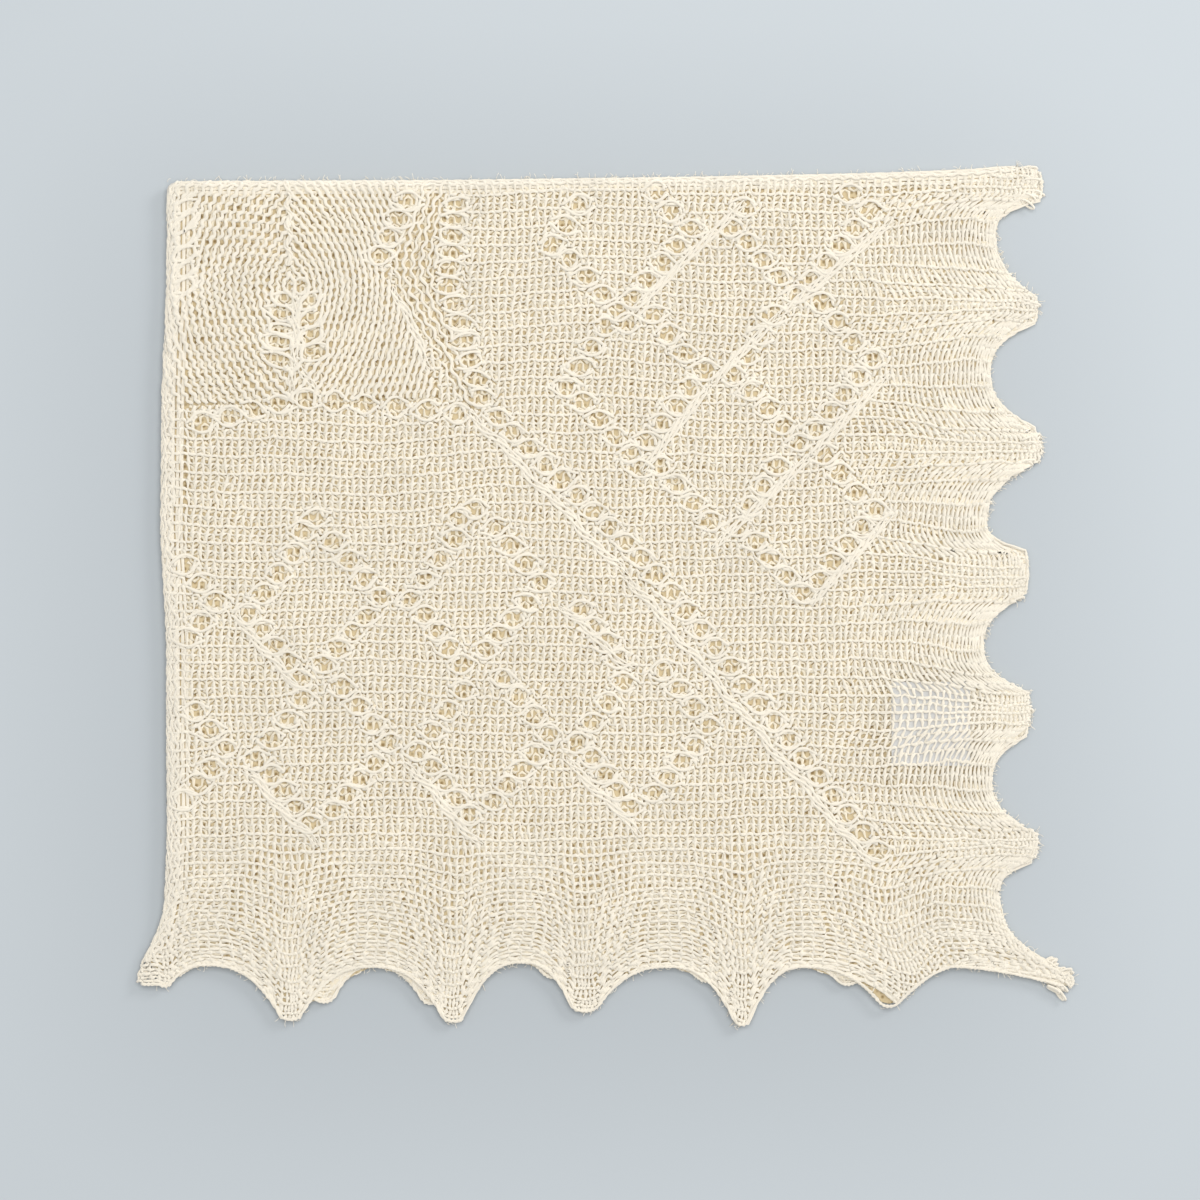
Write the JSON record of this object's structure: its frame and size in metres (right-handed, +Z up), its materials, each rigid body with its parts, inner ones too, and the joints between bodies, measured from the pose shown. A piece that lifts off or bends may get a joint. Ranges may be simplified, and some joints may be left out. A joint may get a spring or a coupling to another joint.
{
  "type": "folded baby shawl",
  "caption": "Square cream lace-knit baby shawl with a scalloped border and lines of eyelets, folded to a quarter of its size and lying flat, with a blank care label under the net.",
  "frame": {"origin": "middle of the bounding box on the surface that the folded shawl lies on", "axes": "+X along the top fold towards the scalloped right edge, +Y from the scalloped bottom edge towards the top fold, +Z up through the layers"},
  "size_m": [0.5376, 0.4918, 0.0117],
  "materials": {
    "wool_net": "cream wool yarn knitted as an open net, soft and matt",
    "wool_layers": "the same cream wool net in the layers below, darker where it is shaded",
    "label_cloth": "smooth woven white label, blank"
  },
  "bodies": {
    "root": {"front_quarter": "wool_net", "folded_layers": "wool_layers", "care_label": "label_cloth"}
  },
  "joints": []
}
